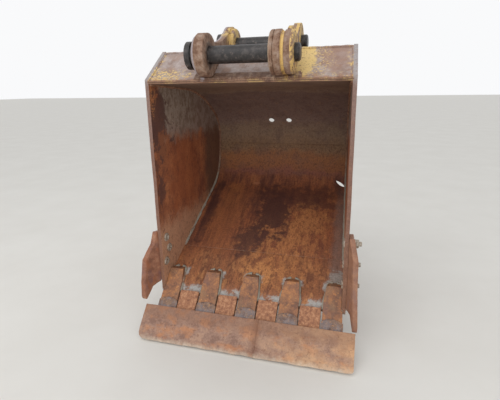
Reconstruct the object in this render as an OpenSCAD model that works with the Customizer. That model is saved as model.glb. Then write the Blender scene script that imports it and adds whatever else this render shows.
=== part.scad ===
// Digging bucket of a crawler excavator, hung on its arm pin, mouth towards -Y.
// Origin: middle of the arm pin between the ears. X across, Y into the bucket, Z up. Millimetres.

/* [Shell] */
// Width over the side plates at the mouth
mouth_w = 1045; // [950:5:1140]
// Thickness of the rolled shell
shell_t = 12; // [10:1:16]
// Thickness of each side plate
side_t = 20; // [16:1:24]
// Angle by which each side plate closes in towards the back
side_taper = 1.7; // [0.5:0.1:2.5]
// Angle by which each side plate leans outwards towards the lip
side_splay = 0.7; // [0:0.1:1.2]
// How far the side plates stand out past the shell and the box
side_lap = 8; // [4:1:14]
// How far the mouth's top edge lies behind the arm pin
mouth_y = 42; // [36:1:50]
// How far the shell's inner face at the mouth lies below the arm pin
mouth_drop = 123; // [118:1:140]
// Slope of the roof at the mouth
roof_slope = 3; // [1:0.5:6]
// Straight length of the roof
roof_len = 398; // [340:2:430]
// Radius of the roof's bend
roof_r = 875; // [800:5:920]
// Angle of the roof's bend
roof_bend = 35; // [32:0.2:38]
// Radius of the upper back bend
back_r = 236; // [200:2:260]
// Angle of the upper back bend
back_bend = 60.7; // [54:0.1:66]
// Straight length of the back
back_len = 110; // [60:2:140]
// Radius of the heel
heel_r = 268; // [230:2:290]
// Angle of the heel's bend
heel_bend = 53.4; // [48:0.1:58]
// Straight length of the floor behind the lip
floor_len = 587; // [500:1:640]

/* [Lip and teeth] */
// Length of the lip plate from back to front
lip_len = 330; // [260:1:360]
// Thickness of the lip plate
lip_t = 36; // [30:1:45]
// Length of the bevel on the lip's front edge
bevel_len = 65; // [40:1:80]
// Depth of the bevel on the lip's front edge
bevel_drop = 18; // [12:1:24]
// Distance between the inner teeth
tooth_pitch = 234; // [215:1:240]
// How far an end tooth lies inside the side plate's outer face
end_inset = 9; // [4:1:20]
// Gap between an end adapter and the side plate beside it
end_gap = 1.2; // [0.5:0.1:6]
// Width of an adapter
adapter_w = 105; // [90:1:110]
// Length of an adapter's upper leg on the lip
upper_leg = 165; // [130:1:190]
// Length of an adapter's lower leg under the lip
lower_leg = 90; // [60:1:120]
// Width of the upper leg near its rounded back
leg_back_w = 76; // [60:1:90]
// Radius of the upper leg's back corners
leg_back_r = 28; // [16:1:36]
// Distance behind the lip's front edge from which an adapter narrows
leg_narrow = 45; // [20:1:80]
// Length of the slope at the upper leg's back
leg_slope = 47; // [30:1:60]
// Thickness of the lower leg
leg_t = 20; // [14:1:26]
// Width of a tooth
tooth_w = 116; // [100:1:120]
// Length of a tooth in front of its adapter
tooth_len = 190; // [150:5:230]
// How far a tooth's rear edge arches back over its adapter
tooth_arch = 18; // [12:1:30]
// Slope of the teeth's upper face against the floor
tooth_slope = 18.4; // [14:0.2:22]
// Distance from the lip's front edge to the corners of a tooth's rear edge
tooth_back = 66; // [56:1:76]
// Depth of those corners below the lip's upper face
tooth_drop = 18.3; // [10:0.1:24]
// Depth of the adapters' undersides below the lip's upper face
nose_depth = 75; // [66:1:84]
// How far a tooth stands proud of its adapter
tooth_step = 4; // [2:0.5:6]
// Thickness of a tooth's tip
tip_t = 10; // [6:1:16]
// Gap beside each connecting plate
plate_gap = 3; // [2:0.5:8]
// Thickness of the connecting plates
plate_t = 20; // [14:1:24]
// How far a connecting plate reaches under the blade
plate_lap = 38; // [20:1:60]

/* [Blade] */
// Width of the flat blade over its two lengths
blade_w = 1180; // [1100:5:1240]
// Height of the blade along its face
blade_h = 195; // [150:5:240]
// Thickness of the blade
blade_t = 20; // [12:1:25]
// Distance along the teeth from their rear corners to the blade's upper edge
blade_start = 41.5; // [36:0.5:60]
// Place of the butt joint between the two lengths
blade_joint = 83; // [20:1:140]
// Radius of the blade's lower left corner
corner_left_r = 45; // [20:1:70]
// Radius of the blade's lower right corner
corner_right_r = 18; // [8:1:40]

/* [Ears and pins] */
// Diameter of the pins between the ears
pin_d = 80; // [70:1:90]
// How much thinner the pins are inside the ears
pin_step = 1; // [0.9:0.1:1.4]
// Radial clearance of the pins in the ears
pin_play = 0.15; // [0.1:0.05:0.3]
// Gap between the ears' bosses
ear_gap = 292; // [280:1:310]
// Gap left where a piece seats close beside another
seat_gap = 0.3; // [0.1:0.1:0.6]
// Thickness of an ear plate
ear_t = 36; // [30:1:42]
// Distance from the arm pin back to the link pin
link_y = 445; // [430:1:470]
// Height of the link pin above the arm pin
link_z = 84; // [70:1:100]
// Diameter of the bosses at the arm pin
boss_d = 194; // [180:1:200]
// Diameter of the right ear's outer boss
outer_d = 186; // [170:1:196]
// How far the bosses at the arm pin stand proud of the ear plates' edge
boss_rise = 10; // [4:1:16]
// Diameter of the ear's head at the link pin
head_d = 196; // [180:1:210]
// How far the bosses at the link pin lie inside the head's edge
head_inset = 10; // [4:1:16]
// Radius of the hollow between an ear's two heads
hollow_r = 420; // [340:10:600]
// Angle from which the ear plates' front heads are round, and to which their rear heads are
head_from = 262; // [250:1:270]
head_to = -30; // [-40:1:-20]
// How far the left ear plate lies inside its boss's outer end
plate_inset = 5; // [2:1:12]
// How far the right ear plate reaches past its inner boss's inner end
plate_past = 14; // [8:1:20]
// Length of the left boss
boss_len = 64; // [56:1:80]
// Chamfer on the left boss's outer edge
boss_chamfer = 18; // [10:1:24]
// Length of the adjusting ring beside the right ear
ring_len = 20; // [14:1:30]
// Chamfer on the other bosses and the ring
ring_chamfer = 6; // [2:1:10]
// Length of the right ear's inner boss
inner_len = 34; // [24:1:40]
// Width of the groove between the right ear's two bosses
groove_w = 11; // [6:1:16]
// Length of the right ear's outer boss
outer_len = 40; // [30:1:50]
// Diameter of a pin's flange
flange_d = 125; // [110:1:140]
// Thickness of a pin's flange
flange_t = 26; // [16:1:32]
// Diameter of the collar under the flange
collar_d = 109; // [96:1:110]
// Length of the collar under the flange
collar_len = 16; // [10:1:30]
// Bevel on a pin's plain end
pin_bevel = 6; // [2:1:10]
// How far the arm pin's plain end stands out
arm_pin_out = 24; // [12:1:40]
// How far the link pin's plain end stands out
link_pin_out = 34; // [12:1:40]

/* [Box under the ears] */
// Thickness of the box's plates
box_t = 10; // [8:1:16]
// Length of the sloped front plate
box_front = 251; // [230:1:270]
// Slope of the front plate
box_rise = 36.2; // [34:0.2:39]
// Length of the rear plate
box_rear = 380; // [370:2:400]
// Slope of the rear plate
box_fall = 35; // [33:0.5:38]
// Length of the bar along the mouth under the ears
bar_len = 520; // [440:5:600]
// How far that bar's middle lies to the left of the ears' middle
bar_shift = 12; // [0:1:30]
// Width of that bar along the front plate
bar_w = 46; // [30:1:60]
// Thickness of that bar
bar_t = 12; // [8:1:14]

/* [Wear parts] */
// Thickness of the wear strips under the floor
strip_t = 12; // [8:1:16]
// Width of a wear strip
strip_w = 90; // [60:1:120]
// Distance between the wear strips
strip_pitch = 300; // [200:5:340]
// Thickness of the corner wear plates
corner_t = 12; // [8:1:16]
// Width of the corner wear plates
corner_w = 100; // [70:1:130]
// Thickness of a side cutter
cutter_t = 25; // [18:1:30]
// Angle by which the left side cutter is bent outwards
cutter_left = 29.5; // [15:0.5:35]
// Angle by which the right side cutter is bent outwards
cutter_right = 23; // [15:0.5:35]
// Distance from the mouth back to the side cutters' bend
cutter_bend = 18; // [10:1:30]
// How far each side cutter reaches in front of the lip
front_left = 91; // [60:1:110]
front_right = 74; // [60:1:110]
// How far each side cutter's tip reaches below the lip's front edge
low_left = 46; // [30:1:80]
low_right = 80; // [30:1:90]
// Height of each side cutter's lower edge where it leaves the side plate
notch_left = 37; // [0:1:50]
notch_right = 4; // [0:1:50]
// How far each side cutter reaches above the lip's front edge
high_left = 352; // [280:1:420]
high_right = 408; // [280:1:420]
// How far a side cutter reaches back from the mouth
cutter_back = 120; // [90:1:160]
// Diameter of the two drain holes
drain_d = 39; // [30:1:46]
// Distance between the drain holes
drain_pitch = 127; // [90:1:160]
// Length of the worn-through slot
slot_len = 86; // [40:1:100]
// Width of the worn-through slot
slot_w = 24; // [14:1:28]
// Turn of the worn-through slot
slot_turn = 40; // [20:1:60]
// Distance from the slot to the right side plate
slot_gap = 4; // [2:0.5:12]

/* [Hidden] */
$fn = 96;
// Angle of one facet of a bend
facet = 2.5;
// Steps of the shell's inner face from the mouth's top to the lip: [length or radius, bend]
STEPS = [
    [roof_len, 0],
    [roof_r, roof_bend],
    [back_r, back_bend],
    [back_len, 0],
    [heel_r, heel_bend],
    [floor_len, 0],
    [lip_len, 0],
];
START = [mouth_y, -mouth_drop, -roof_slope];
BACK_STEP = 2;
HEEL_STEP = 4;
FLOOR_STEP = 5;
LIP_STEP = 6;
// Places on a bend: [step, share of the bend]
DRAINS_AT = [BACK_STEP, 0.27];
SLOT_AT = [HEEL_STEP, 0.68];
// Front edge of each side cutter, from top to bottom: [share of its reach in front, share of its height]
EDGE_LEFT = [[0, 1], [0.2, 0.8], [0.48, 0.69], [0.77, 0.56], [0.96, 0.17]];
EDGE_RIGHT = [[0, 1], [0.39, 0.86], [0.64, 0.75], [0.7, 0.44], [0.9, 0.13]];
// Tip of a side cutter: [share of its reach in front, share of its depth]
TIP = [[1, 0.5], [0.97, 0.85], [0.9, 1], [0.82, 0.75]];
// Its lower edge behind the tip: [share of its reach in front, share of its notch]
NOTCH = [[0.47, 0.6], [0.2, 0.9], [0, 1]];
// Longer than the way through any plate
cut_t = 6*shell_t;
// Longer than any way across the bucket
beyond = roof_len + roof_r + floor_len + lip_len;
lip_edge = walk(LIP_STEP + 1);
// Middles of the teeth and of the wear strips
end_x = face_x(lip_edge[0], lip_edge[1], -end_inset) - tooth_w/2;
TEETH_X = [-end_x, -tooth_pitch, 0, tooth_pitch, end_x];
STRIPS_X = [-strip_pitch, 0, strip_pitch];
// Ends of the parts along the pins, from left to right
left_in = -ear_gap/2;
left_out = left_in - boss_len;
right_in = ear_gap/2;
ring_out = right_in + ring_len;
inner_out = ring_out + inner_len;
outer_in = inner_out + groove_w;
outer_out = outer_in + outer_len;
plate_left = left_out + plate_inset;
plate_right = ring_out + plate_past;
head_out = plate_right + ear_t;
LINK = [link_y, link_z];
// The box's corners in Y and Z, and the normals of its front and rear plates
box_a = step_out(0, shell_t);
box_b = box_a + box_front*[cos(box_rise), sin(box_rise)];
box_c = box_b + box_rear*[cos(box_fall), -sin(box_fall)];
front_normal = [-sin(box_rise), cos(box_rise)];
rear_normal = [sin(box_fall), cos(box_fall)];
bar_middle = box_a + bar_w/2*[cos(box_rise), sin(box_rise)] + bar_t/2*front_normal;

// Centre of a bend that starts at p and turns right
function bend_centre(p, r) = [p[0] + r*sin(p[2]), p[1] - r*cos(p[2])];

// Place and heading after one step
function step_end(p, s) =
    s[1] == 0
    ? [p[0] + s[0]*cos(p[2]), p[1] + s[0]*sin(p[2]), p[2]]
    : let (c = bend_centre(p, s[0]), h = p[2] - s[1])
        [c[0] - s[0]*sin(h), c[1] + s[0]*cos(h), h];

// Place and heading after n steps
function walk(n) = n == 0 ? START : step_end(walk(n - 1), STEPS[n - 1]);

// Point outside the inner face after n steps
function step_out(n, off) =
    let (p = walk(n)) [p[0] - off*sin(p[2]), p[1] + off*cos(p[2])];

// Points of a face along step n, at a distance outside the inner face
function step_points(n, off) =
    let (p = walk(n), s = STEPS[n], m = max(1, ceil(s[1]/facet)))
        s[1] == 0
        ? [step_out(n, off)]
        : let (c = bend_centre(p, s[0]))
            [for (i = [0:m - 1]) let (h = p[2] - s[1]*i/m) c + (s[0] + off)*[-sin(h), cos(h)]];

// Points of a face from the start of step a to the end of step b
function face_points(a, b, off) =
    concat([for (n = [a:b]) each step_points(n, off)], [step_out(b + 1, off)]);

function reversed(v) = [for (i = [len(v) - 1:-1:0]) v[i]];

// Place on a bend and the turn of its normal
function bend_place(at) =
    let (
        n = at[0],
        c = bend_centre(walk(n), STEPS[n][0]),
        h = walk(n)[2] - at[1]*STEPS[n][1]
    )
    [c[0] - STEPS[n][0]*sin(h), c[1] + STEPS[n][0]*cos(h), h];

// Points on a circle from angle a to angle b
function arc_points(c, r, a, b, m = 16) =
    [for (i = [0:m]) let (t = a + (b - a)*i/m) c + r*[cos(t), sin(t)]];

// X of the right side plate's outer face at a place in Y and Z, or of a plane at a distance outside it
function face_x(y, z, out) =
    mouth_w/2 + (out/cos(side_splay) - (z + mouth_drop)*tan(side_splay))/cos(side_taper)
    - (y - mouth_y)*tan(side_taper);

// Height of the teeth's upper plane at a distance in front of the lip
function top_at(u) = -tooth_drop - (u - tooth_back)*tan(tooth_slope);

// A profile in Y and Z, given its width along X and the middle of it
module across(w, at = 0) {
    translate([at, 0, 0]) rotate([90, 0, 90]) linear_extrude(w, center = true) children();
}

// A cylinder along X from a to b
module rod(a, b, d) {
    translate([a, 0, 0]) rotate([0, 90, 0]) cylinder(d = d, h = b - a);
}

// A turned piece along X, given its outline as [radius, X]
module turned(points) {
    rotate([0, 90, 0]) rotate([0, 0, 90]) rotate_extrude() polygon(points);
}

// A boss along X from a to b with a chamfer at each end
module boss(a, b, d, chamfer_a, chamfer_b) {
    turned([
        [0, a],
        [d/2 - chamfer_a, a],
        [d/2, a + chamfer_a],
        [d/2, b - chamfer_b],
        [d/2 - chamfer_b, b],
        [0, b],
    ]);
}

// Plate along steps a to b, between two distances from the inner face
module band(a, b, near, far) {
    polygon(concat(face_points(a, b, near), reversed(face_points(a, b, far))));
}

// Whole area inside the shell, grown by a distance
module inside(off) {
    polygon(face_points(0, len(STEPS) - 1, off));
}

// Puts things on a side plate: x is 0 on its outer face and grows outwards
module at_side(s) {
    mirror([s < 0 ? 1 : 0, 0, 0])
        translate([mouth_w/2, mouth_y, -mouth_drop]) rotate([0, -side_splay, side_taper])
            translate([0, -mouth_y, mouth_drop]) children();
}

// Space beside one side plate's outer face, from near to far outside it
module beside(s, near, far) {
    at_side(s) translate([near, -beyond, -beyond]) cube([far - near, 2*beyond, 2*beyond]);
}

// Space between the planes at a distance outside the side plates' outer faces
module between_faces(out) {
    intersection() {
        beside(-1, -2*mouth_w, out);
        beside(1, -2*mouth_w, out);
    }
}

// Puts things on the lip's front edge: y forwards along the floor, z up from it
module on_lip() {
    translate([0, lip_edge[0], lip_edge[1]]) rotate([lip_edge[2], 0, 0]) mirror([0, 0, 1]) children();
}

// Puts things on the teeth's upper plane: y down the blade from its upper edge, z out from it
module on_blade() {
    on_lip() translate([0, tooth_back, -tooth_drop]) rotate([-tooth_slope, 0, 0])
        translate([0, blade_start, 0]) children();
}

// Puts a profile on the box's front plate: x up the slope from the mouth, y out from it
module at_front() {
    translate(box_a) rotate(box_rise) children();
}

// A pointed hole square through a bend of the shell
module shell_hole(x, at, len, w, turn) {
    p = bend_place(at);
    r = (len*len + w*w)/(4*w);
    translate([x, p[0], p[1]]) rotate([p[2], 0, 0]) linear_extrude(cut_t, center = true) rotate(turn)
        intersection() {
            translate([0, r - w/2]) circle(r);
            translate([0, w/2 - r]) circle(r);
        }
}

module floor_plate() {
    p = bend_place(SLOT_AT);
    slot_x = face_x(p[0], p[1], -side_t) - slot_gap - slot_len*cos(slot_turn)/2;
    color("saddlebrown") difference() {
        intersection() {
            across(2*mouth_w) band(BACK_STEP + 1, FLOOR_STEP, 0, shell_t);
            between_faces(-side_t);
        }
        shell_hole(slot_x, SLOT_AT, slot_len, slot_w, slot_turn);
    }
}

module drain_hole(x) {
    p = bend_place(DRAINS_AT);
    translate([x, p[0], p[1]]) rotate([p[2], 0, 0]) cylinder(d = drain_d, h = cut_t, center = true);
}

module back_plate() {
    color("saddlebrown") difference() {
        intersection() {
            across(2*mouth_w) band(0, BACK_STEP, 0, shell_t);
            between_faces(-side_t);
        }
        for (s = [-1, 1]) drain_hole(s*drain_pitch/2);
    }
}

module lip_profile() {
    polygon([
        [-lip_len, 0],
        [-bevel_len, 0],
        [0, -bevel_drop],
        [0, -lip_t],
        [-lip_len, -lip_t],
    ]);
}

module lip_plate() {
    color("sienna") intersection() {
        on_lip() across(2*mouth_w) lip_profile();
        between_faces(0);
    }
}

// Outline of a side plate in Y and Z, before the lip is cut out of it
module side_outline() {
    peak = box_b + side_lap*(front_normal + rear_normal)/(1 + front_normal*rear_normal);
    inside(shell_t + side_lap);
    polygon([step_out(0, shell_t + side_lap), peak, box_c + side_lap*rear_normal, box_c, box_a]);
}

module side_plate(s) {
    color("rosybrown") difference() {
        intersection() {
            across(2*mouth_w) side_outline();
            beside(s, -side_t, 0);
        }
        on_lip() across(2*mouth_w) polygon([
            [-lip_len, 0],
            [-bevel_len, 0],
            [0, -bevel_drop],
            [0, -3*lip_t],
            [-lip_len, -3*lip_t],
        ]);
    }
}

module front_profile() {
    at_front() translate([0, -box_t]) square([box_front, box_t]);
}

module box_front_plate() {
    color("tan") intersection() {
        across(2*mouth_w) difference() {
            front_profile();
            inside(shell_t);
        }
        between_faces(-side_t);
    }
}

module box_rear_plate() {
    color("tan") intersection() {
        across(2*mouth_w) difference() {
            translate(box_b) rotate(-box_fall) translate([0, -box_t]) square([box_rear, box_t]);
            inside(shell_t);
            front_profile();
        }
        between_faces(-side_t);
    }
}

module bar_profile() {
    at_front() square([bar_w, bar_t]);
}

module front_bar() {
    middle = (left_out + outer_out)/2 - bar_shift;
    color("rosybrown") across(bar_len, middle) bar_profile();
}

// Outline of an ear plate: its two heads, the hollow between them and the foot
module ear_outline() {
    r1 = boss_d/2 - boss_rise;
    r2 = head_d/2;
    span = norm(LINK);
    // The hollow's centre is as far from each head as their radii together
    along = (pow(r1 + hollow_r, 2) - pow(r2 + hollow_r, 2) + span*span)/(2*span);
    out = sqrt(pow(r1 + hollow_r, 2) - along*along);
    dir = LINK/span;
    centre = along*dir + out*[-dir[1], dir[0]];
    turn1 = atan2(centre[1], centre[0]);
    turn2 = atan2(centre[1] - link_z, centre[0] - link_y);
    difference() {
        polygon(concat(
            arc_points([0, 0], r1, head_from, turn1),
            arc_points(centre, hollow_r, turn1 - 180, turn2 - 180),
            arc_points(LINK, r2, turn2, head_to),
            [box_c, bar_middle]
        ));
        inside(shell_t);
        polygon([box_a, box_b, box_c]);
        at_front() translate([0, -box_t]) square([bar_w, box_t + bar_t]);
    }
}

module pin_holes() {
    bore = pin_d + 2*pin_play;
    for (p = [[0, 0], LINK])
        translate([0, p[0], p[1]]) rod(-mouth_w/2, mouth_w/2, bore);
}

// Moves things from the arm pin to the link pin
module at_link() {
    translate([0, link_y, link_z]) children();
}

// A boss on the arm pin, flat where it would run into the bar
module bar_boss(a, b, d, chamfer_a, chamfer_b) {
    difference() {
        boss(a, b, d, chamfer_a, chamfer_b);
        across(mouth_w) bar_profile();
    }
}

module ear_left() {
    color("rosybrown") difference() {
        union() {
            across(ear_t, plate_left + ear_t/2) ear_outline();
            bar_boss(left_out, left_in, boss_d, boss_chamfer, ring_chamfer/2);
            at_link() boss(left_out, left_in, head_d - 2*head_inset, ring_chamfer, ring_chamfer);
        }
        pin_holes();
    }
}

module ear_right() {
    color("rosybrown") difference() {
        union() {
            across(ear_t, plate_right + ear_t/2) ear_outline();
            bar_boss(ring_out, inner_out, boss_d, ring_chamfer/2, ring_chamfer);
            bar_boss(outer_in, outer_out, outer_d, ring_chamfer/2, ring_chamfer);
            at_link() boss(right_in, head_out, head_d - 2*head_inset, ring_chamfer, ring_chamfer);
        }
        pin_holes();
    }
}

module adjusting_ring() {
    color("rosybrown") difference() {
        bar_boss(right_in, ring_out, boss_d, ring_chamfer, ring_chamfer/2);
        pin_holes();
    }
}

// A strip from y a to b whose rear end is an arc, given the arc's rise
module arched(w, a, b, rise, grow = 0) {
    r = (w*w/4 + rise*rise)/(2*rise);
    intersection() {
        translate([-w/2, a - grow]) square([w, b - a + grow]);
        union() {
            translate([0, a + r]) circle(r + grow);
            translate([-w/2, a + rise + r/2]) square([w, b - a]);
        }
    }
}

// The space of one tooth, grown by a distance at its rear edge
module tooth_form(grow) {
    back = tooth_back - tooth_arch;
    tip = tooth_back + tooth_len;
    on_lip() intersection() {
        across(tooth_w) polygon([
            [back - grow, top_at(back - grow)],
            [tip, top_at(tip)],
            [tip, top_at(tip) - tip_t],
            [back - grow, -nose_depth - tooth_step],
        ]);
        linear_extrude(4*nose_depth, center = true) arched(tooth_w, back, tip, tooth_arch, grow);
    }
}

// Plan of an adapter: it narrows towards the rounded back of its upper leg
module adapter_plan() {
    corner = [leg_back_w/2 - leg_back_r, -upper_leg + leg_back_r];
    right = concat([[adapter_w/2, tooth_back], [adapter_w/2, -leg_narrow]], arc_points(corner, leg_back_r, 0, -90));
    polygon(concat(right, [for (p = reversed(right)) [-p[0], p[1]]]));
}

// The space behind the lip's front edge that the side plates leave no room in
module side_room() {
    for (s = [-1, 1]) intersection() {
        beside(s, -side_t - end_gap, mouth_w);
        on_lip() translate([-mouth_w, -beyond, -beyond]) cube([2*mouth_w, beyond + end_gap, 2*beyond]);
    }
}

module adapter(x) {
    color("peru") difference() {
        on_lip() translate([x, 0, 0]) intersection() {
            across(adapter_w) difference() {
                polygon([
                    [-upper_leg, 0],
                    [-upper_leg + leg_slope, top_at(-upper_leg + leg_slope) - tooth_step],
                    [tooth_back, top_at(tooth_back) - tooth_step],
                    [tooth_back, -nose_depth],
                    [0, -nose_depth],
                    [-lower_leg, -lip_t - leg_t],
                    [-lower_leg, -lip_t],
                ]);
                lip_profile();
            }
            linear_extrude(4*nose_depth, center = true) adapter_plan();
        }
        translate([x, 0, 0]) tooth_form(seat_gap);
        side_room();
    }
}

module tooth(x) {
    color("slategray") translate([x, 0, 0]) tooth_form(0);
}

// A plate between two teeth, given their middles
module connecting_plate(x1, x2) {
    w = x2 - x1 - tooth_w - 2*plate_gap;
    reach = tooth_back + blade_start + plate_lap;
    color("chocolate") on_lip() across(w, (x1 + x2)/2) polygon([
        [0, top_at(0)],
        [reach, top_at(reach)],
        [reach, top_at(reach) - plate_t],
        [0, -bevel_drop - plate_t/2],
    ]);
}

// One length of the blade, from the butt joint to its outer end
module blade(s, r) {
    outer = s*blade_w/2;
    color("sienna") on_blade() linear_extrude(blade_t) polygon(concat(
        [[outer, 0], [blade_joint, 0], [blade_joint, blade_h]],
        arc_points([outer - s*r, blade_h - r], r, 90, 90 - s*90)
    ));
}

// Outline of a side cutter in Y and Z, from the lip's front edge
module cutter_outline(edge, front, high, low, notch) {
    rise = tan(lip_edge[2] + 180);
    translate([lip_edge[0], lip_edge[1]]) polygon(concat(
        [[cutter_back, high - cutter_bend]],
        [for (p = edge) [-front*p[0], high*p[1]]],
        [for (p = TIP) [-front*p[0], -low*p[1]]],
        [for (p = NOTCH) [-front*p[0], notch*p[1]]],
        [[cutter_back, notch + cutter_back*rise]]
    ));
}

// Plan of a side cutter: flat on the side plate, bent outwards in front of it
module cutter_plan(angle, front) {
    bend = mouth_y + cutter_bend;
    mitre = cutter_t*tan(angle/2);
    reach = (bend - lip_edge[0] + front + mitre)/cos(angle);
    way = [sin(angle), -cos(angle)];
    polygon([
        [0, bend + cutter_back],
        [cutter_t, bend + cutter_back],
        [cutter_t, bend + mitre],
        [cutter_t, bend + mitre] + reach*way,
        [0, bend] + (reach + mitre)*way,
        [0, bend],
    ]);
}

module side_cutter(s, angle, edge, front, high, low, notch) {
    color("indianred") at_side(s) intersection() {
        across(mouth_w) cutter_outline(edge, front, high, low, notch);
        translate([0, 0, lip_edge[1] - 2*low]) linear_extrude(2*high) cutter_plan(angle, front);
    }
}

module side_cutter_left() {
    side_cutter(-1, cutter_left, EDGE_LEFT, front_left, high_left, low_left, notch_left);
}

module side_cutter_right() {
    side_cutter(1, cutter_right, EDGE_RIGHT, front_right, high_right, low_right, notch_right);
}

module wear_strip(x) {
    color("saddlebrown") across(strip_w, x)
        band(HEEL_STEP, FLOOR_STEP, shell_t, shell_t + strip_t);
}

module corner_plate(s) {
    color("rosybrown") intersection() {
        across(2*mouth_w)
            band(HEEL_STEP, HEEL_STEP, shell_t + side_lap - corner_w, shell_t + side_lap);
        beside(s, 0, corner_t);
    }
}

// A pin with its flange on the left, given the place of its plain end
module pin(end) {
    r = pin_d/2;
    thin = r - pin_step/2;
    flange_in = left_out - seat_gap;
    flange_out = flange_in - collar_len - flange_t;
    color("dimgray") turned([
        [0, flange_out],
        [flange_d/2, flange_out],
        [flange_d/2, flange_out + flange_t],
        [collar_d/2, flange_out + flange_t],
        [collar_d/2, flange_in],
        [thin, flange_in],
        [thin, left_in],
        [r, left_in],
        [r, right_in],
        [thin, right_in],
        [thin, end - pin_bevel],
        [thin - pin_bevel, end],
        [0, end],
    ]);
}

module arm_pin() {
    pin(outer_out + arm_pin_out);
}

module link_pin() {
    at_link() pin(head_out + link_pin_out);
}

floor_plate();
back_plate();
lip_plate();
side_plate(-1);  // side_plate_left
side_plate(1);  // side_plate_right
box_front_plate();
box_rear_plate();
front_bar();
ear_left();
ear_right();
adjusting_ring();
for (i = [0:len(TEETH_X) - 1]) {
    adapter(TEETH_X[i]);
    tooth(TEETH_X[i]);
}
for (i = [1:len(TEETH_X) - 1])
    connecting_plate(TEETH_X[i - 1], TEETH_X[i]);
blade(-1, corner_left_r);  // blade_left
blade(1, corner_right_r);  // blade_right
side_cutter_left();
side_cutter_right();
for (i = [0:len(STRIPS_X) - 1])
    wear_strip(STRIPS_X[i]);
corner_plate(-1);  // corner_plate_left
corner_plate(1);  // corner_plate_right
arm_pin();
link_pin();
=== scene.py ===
"""Looks of a worn excavator bucket, hung on its two pins: rust, old paint, bare metal, welds and grease."""

import math
import random

import bmesh
import bpy
from mathutils import Matrix, Vector, noise
from mathutils.bvhtree import BVHTree


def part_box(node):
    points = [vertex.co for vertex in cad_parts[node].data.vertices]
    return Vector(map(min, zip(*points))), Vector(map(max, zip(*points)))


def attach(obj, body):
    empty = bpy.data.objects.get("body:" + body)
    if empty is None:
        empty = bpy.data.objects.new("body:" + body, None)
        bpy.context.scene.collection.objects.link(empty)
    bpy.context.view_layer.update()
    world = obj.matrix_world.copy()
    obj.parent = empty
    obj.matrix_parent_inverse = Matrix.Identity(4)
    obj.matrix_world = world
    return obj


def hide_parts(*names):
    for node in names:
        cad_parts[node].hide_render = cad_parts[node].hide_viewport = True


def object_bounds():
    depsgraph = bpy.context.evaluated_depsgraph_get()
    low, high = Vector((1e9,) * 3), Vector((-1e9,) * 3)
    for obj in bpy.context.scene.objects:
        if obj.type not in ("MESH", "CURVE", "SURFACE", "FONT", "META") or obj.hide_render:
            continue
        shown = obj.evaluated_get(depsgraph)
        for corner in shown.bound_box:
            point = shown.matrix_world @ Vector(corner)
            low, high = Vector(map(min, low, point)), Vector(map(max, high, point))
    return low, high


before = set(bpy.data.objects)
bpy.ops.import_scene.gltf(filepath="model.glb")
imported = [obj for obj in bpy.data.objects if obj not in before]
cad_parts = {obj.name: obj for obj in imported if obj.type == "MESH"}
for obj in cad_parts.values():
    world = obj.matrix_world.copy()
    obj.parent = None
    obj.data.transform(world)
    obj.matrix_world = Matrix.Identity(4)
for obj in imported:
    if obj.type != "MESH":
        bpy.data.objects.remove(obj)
cad_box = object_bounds()

# Seed of the bolts' turns
SEED = 7

# Camera: place in metres, turns in degrees, lens and sensor in millimetres
CAMERA_AT = (0.5243, -1.7676, -0.1486)
CAMERA_YAW = -15.44
CAMERA_PITCH = 16.43
CAMERA_ROLL = -0.82
CAMERA_LENS = 27.345
CAMERA_SENSOR = 36.0

# Dents of the whole bucket, in metres: size of one dent and depth
DENT_SIZE = 0.22
DENT_DEPTH = 0.002
# Height below which they start, so that the pins' bosses stay, and over which they grow to the full depth
DENT_TOP = -0.14
DENT_FADE = 0.25
# Places where the dents along X, Y and Z take their noise
DENT_SHIFTS = ((3.1, 0, 0), (0, 5.7, 0), (0, 0, 9.2))

# Fractal noise of uneven skins and worn edges: its falloff, the step between octaves, and octaves
FRACTAL = (1.0, 2.0, 3)

# Lower edge of the blade: how far it is worn up, how high that shows, and size of the dips
WORN = {"blade_left": 0.008, "blade_right": 0.010}
WORN_BAND = 0.03
WORN_SIZE = 0.07

# Distance between the middles of two adapters, as in the solids
TOOTH_PITCH = 0.234

# Half size along X of patches that lie on both side plates alike
SIDE_REACH = 5.0

# A place in the middle of the room inside
BUCKET_MIDDLE = (0, 0.35, -0.65)

# Meshes: distance at which points are one, and angles in degrees between faces that count as flat,
# that get a rounded edge, that can carry a weld, and that look sharp on pieces, beads and bolts
SAME_POINT = 1e-5
FLAT_ANGLE = 0.6
ROUNDED_ANGLE = 25
WELDED_ANGLE = 30
SHARP_ANGLE = 38
BEAD_ANGLE = 60
BOLT_ANGLE = 30

# Seams: widest gap between welded pieces, distance of their points, and the turn that ends a line
SEAM_GAP = 0.0012
SEAM_STEP = 0.012
SEAM_TURN = 50

# Weld beads: length of one ripple, rings in it, sides of the bead
RIPPLE = 0.0075
RIPPLE_RINGS = 3
BEAD_SIDES = 7
# Shares of the radius: height of a ripple, unevenness and its size in metres, and what is left at an end
RIPPLE_HEIGHT = 0.10
BEAD_SWELL = 0.35
SWELL_SIZE = 0.03
BEAD_END = 0.55
# A direction that no seam runs along
BEAD_SIDE = (0.3, 0.5, 0.8)

# Materials: size of the grain in clouds of rust and of the finest grain, in metres
CLOUD_GRAIN = 0.012
FINE_GRAIN = 0.008
# Values of the noise at which clouds are dark, middling and light, and how far its values spread
CLOUD_STOPS = (0.36, 0.50, 0.66)
NOISE_SPREAD = 0.36

# Floor: half of its length, far past what the camera sees, size of its spots, and roughness
FLOOR_REACH = 60.0
FLOOR_SPOTS = 0.5
FLOOR_ROUGH = 0.9

# Light of the world, what the camera and reflections see in its place, and the world's strength
WORLD_COLOUR = (0.96, 0.98, 1.0, 1.0)
SKY_COLOUR = (0.95, 0.955, 0.965, 1.0)
WORLD_STRENGTH = 0.85
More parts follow.
